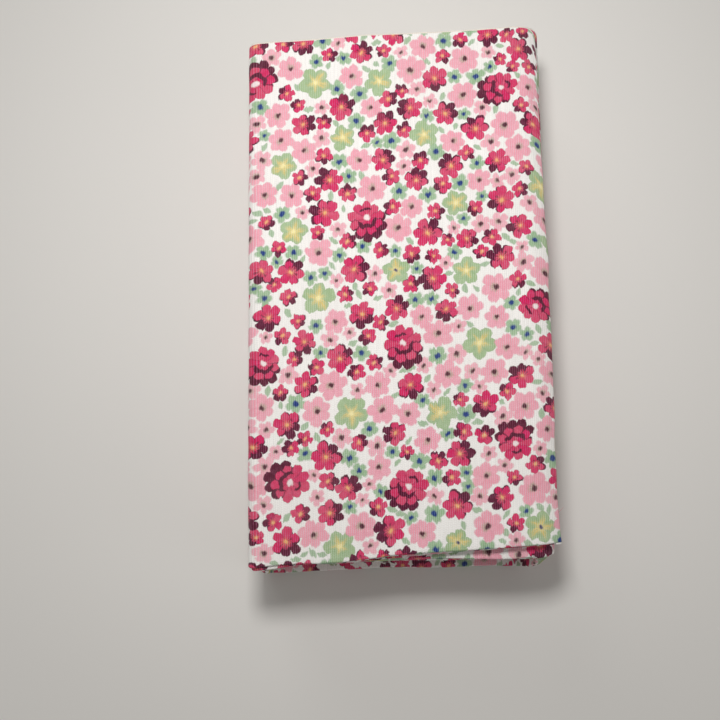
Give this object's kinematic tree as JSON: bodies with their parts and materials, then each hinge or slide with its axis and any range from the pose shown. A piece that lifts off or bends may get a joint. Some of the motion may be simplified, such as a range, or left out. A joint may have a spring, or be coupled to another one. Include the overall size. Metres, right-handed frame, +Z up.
{
  "type": "fabric bolt",
  "caption": "Miniature bolt of floral quilting cotton: a folded strip wound flat around a corrugated board, with a loose tail leaf that lifts open.",
  "frame": {"origin": "centre of the bounding box's bottom face, on the face the bolt rests on", "axes": "+X across the folds towards the tail's cut edge, +Y along the folded strip away from its front folds, +Z up"},
  "size_m": [0.052, 0.092, 0.0169],
  "materials": {
    "print_cotton": "matte woven cotton with a dense printed floral",
    "kraft_liner": "matte brown kraft liner",
    "kraft_flute": "matte brown fluted medium"
  },
  "bodies": {
    "winding": {"turn_1": "print_cotton", "turn_2": "print_cotton", "turn_3": "print_cotton", "turn_4": "print_cotton"},
    "tail": {"tail_leaf": "print_cotton"},
    "board": {"core_liner_lower": "kraft_liner", "core_flute": "kraft_flute", "core_liner_upper": "kraft_liner"}
  },
  "joints": [
    {"name": "tail_lift", "type": "hinge", "parent": "winding", "child": "tail", "pos_m": [-0.02517, 0.0015, 0.01607], "axis": [0, -1, 0], "range_deg": [0, 165]},
    {"name": "board_slide", "type": "slide", "parent": "winding", "child": "board", "axis": [0, -1, 0], "range_m": [0, 0.09]}
  ]
}
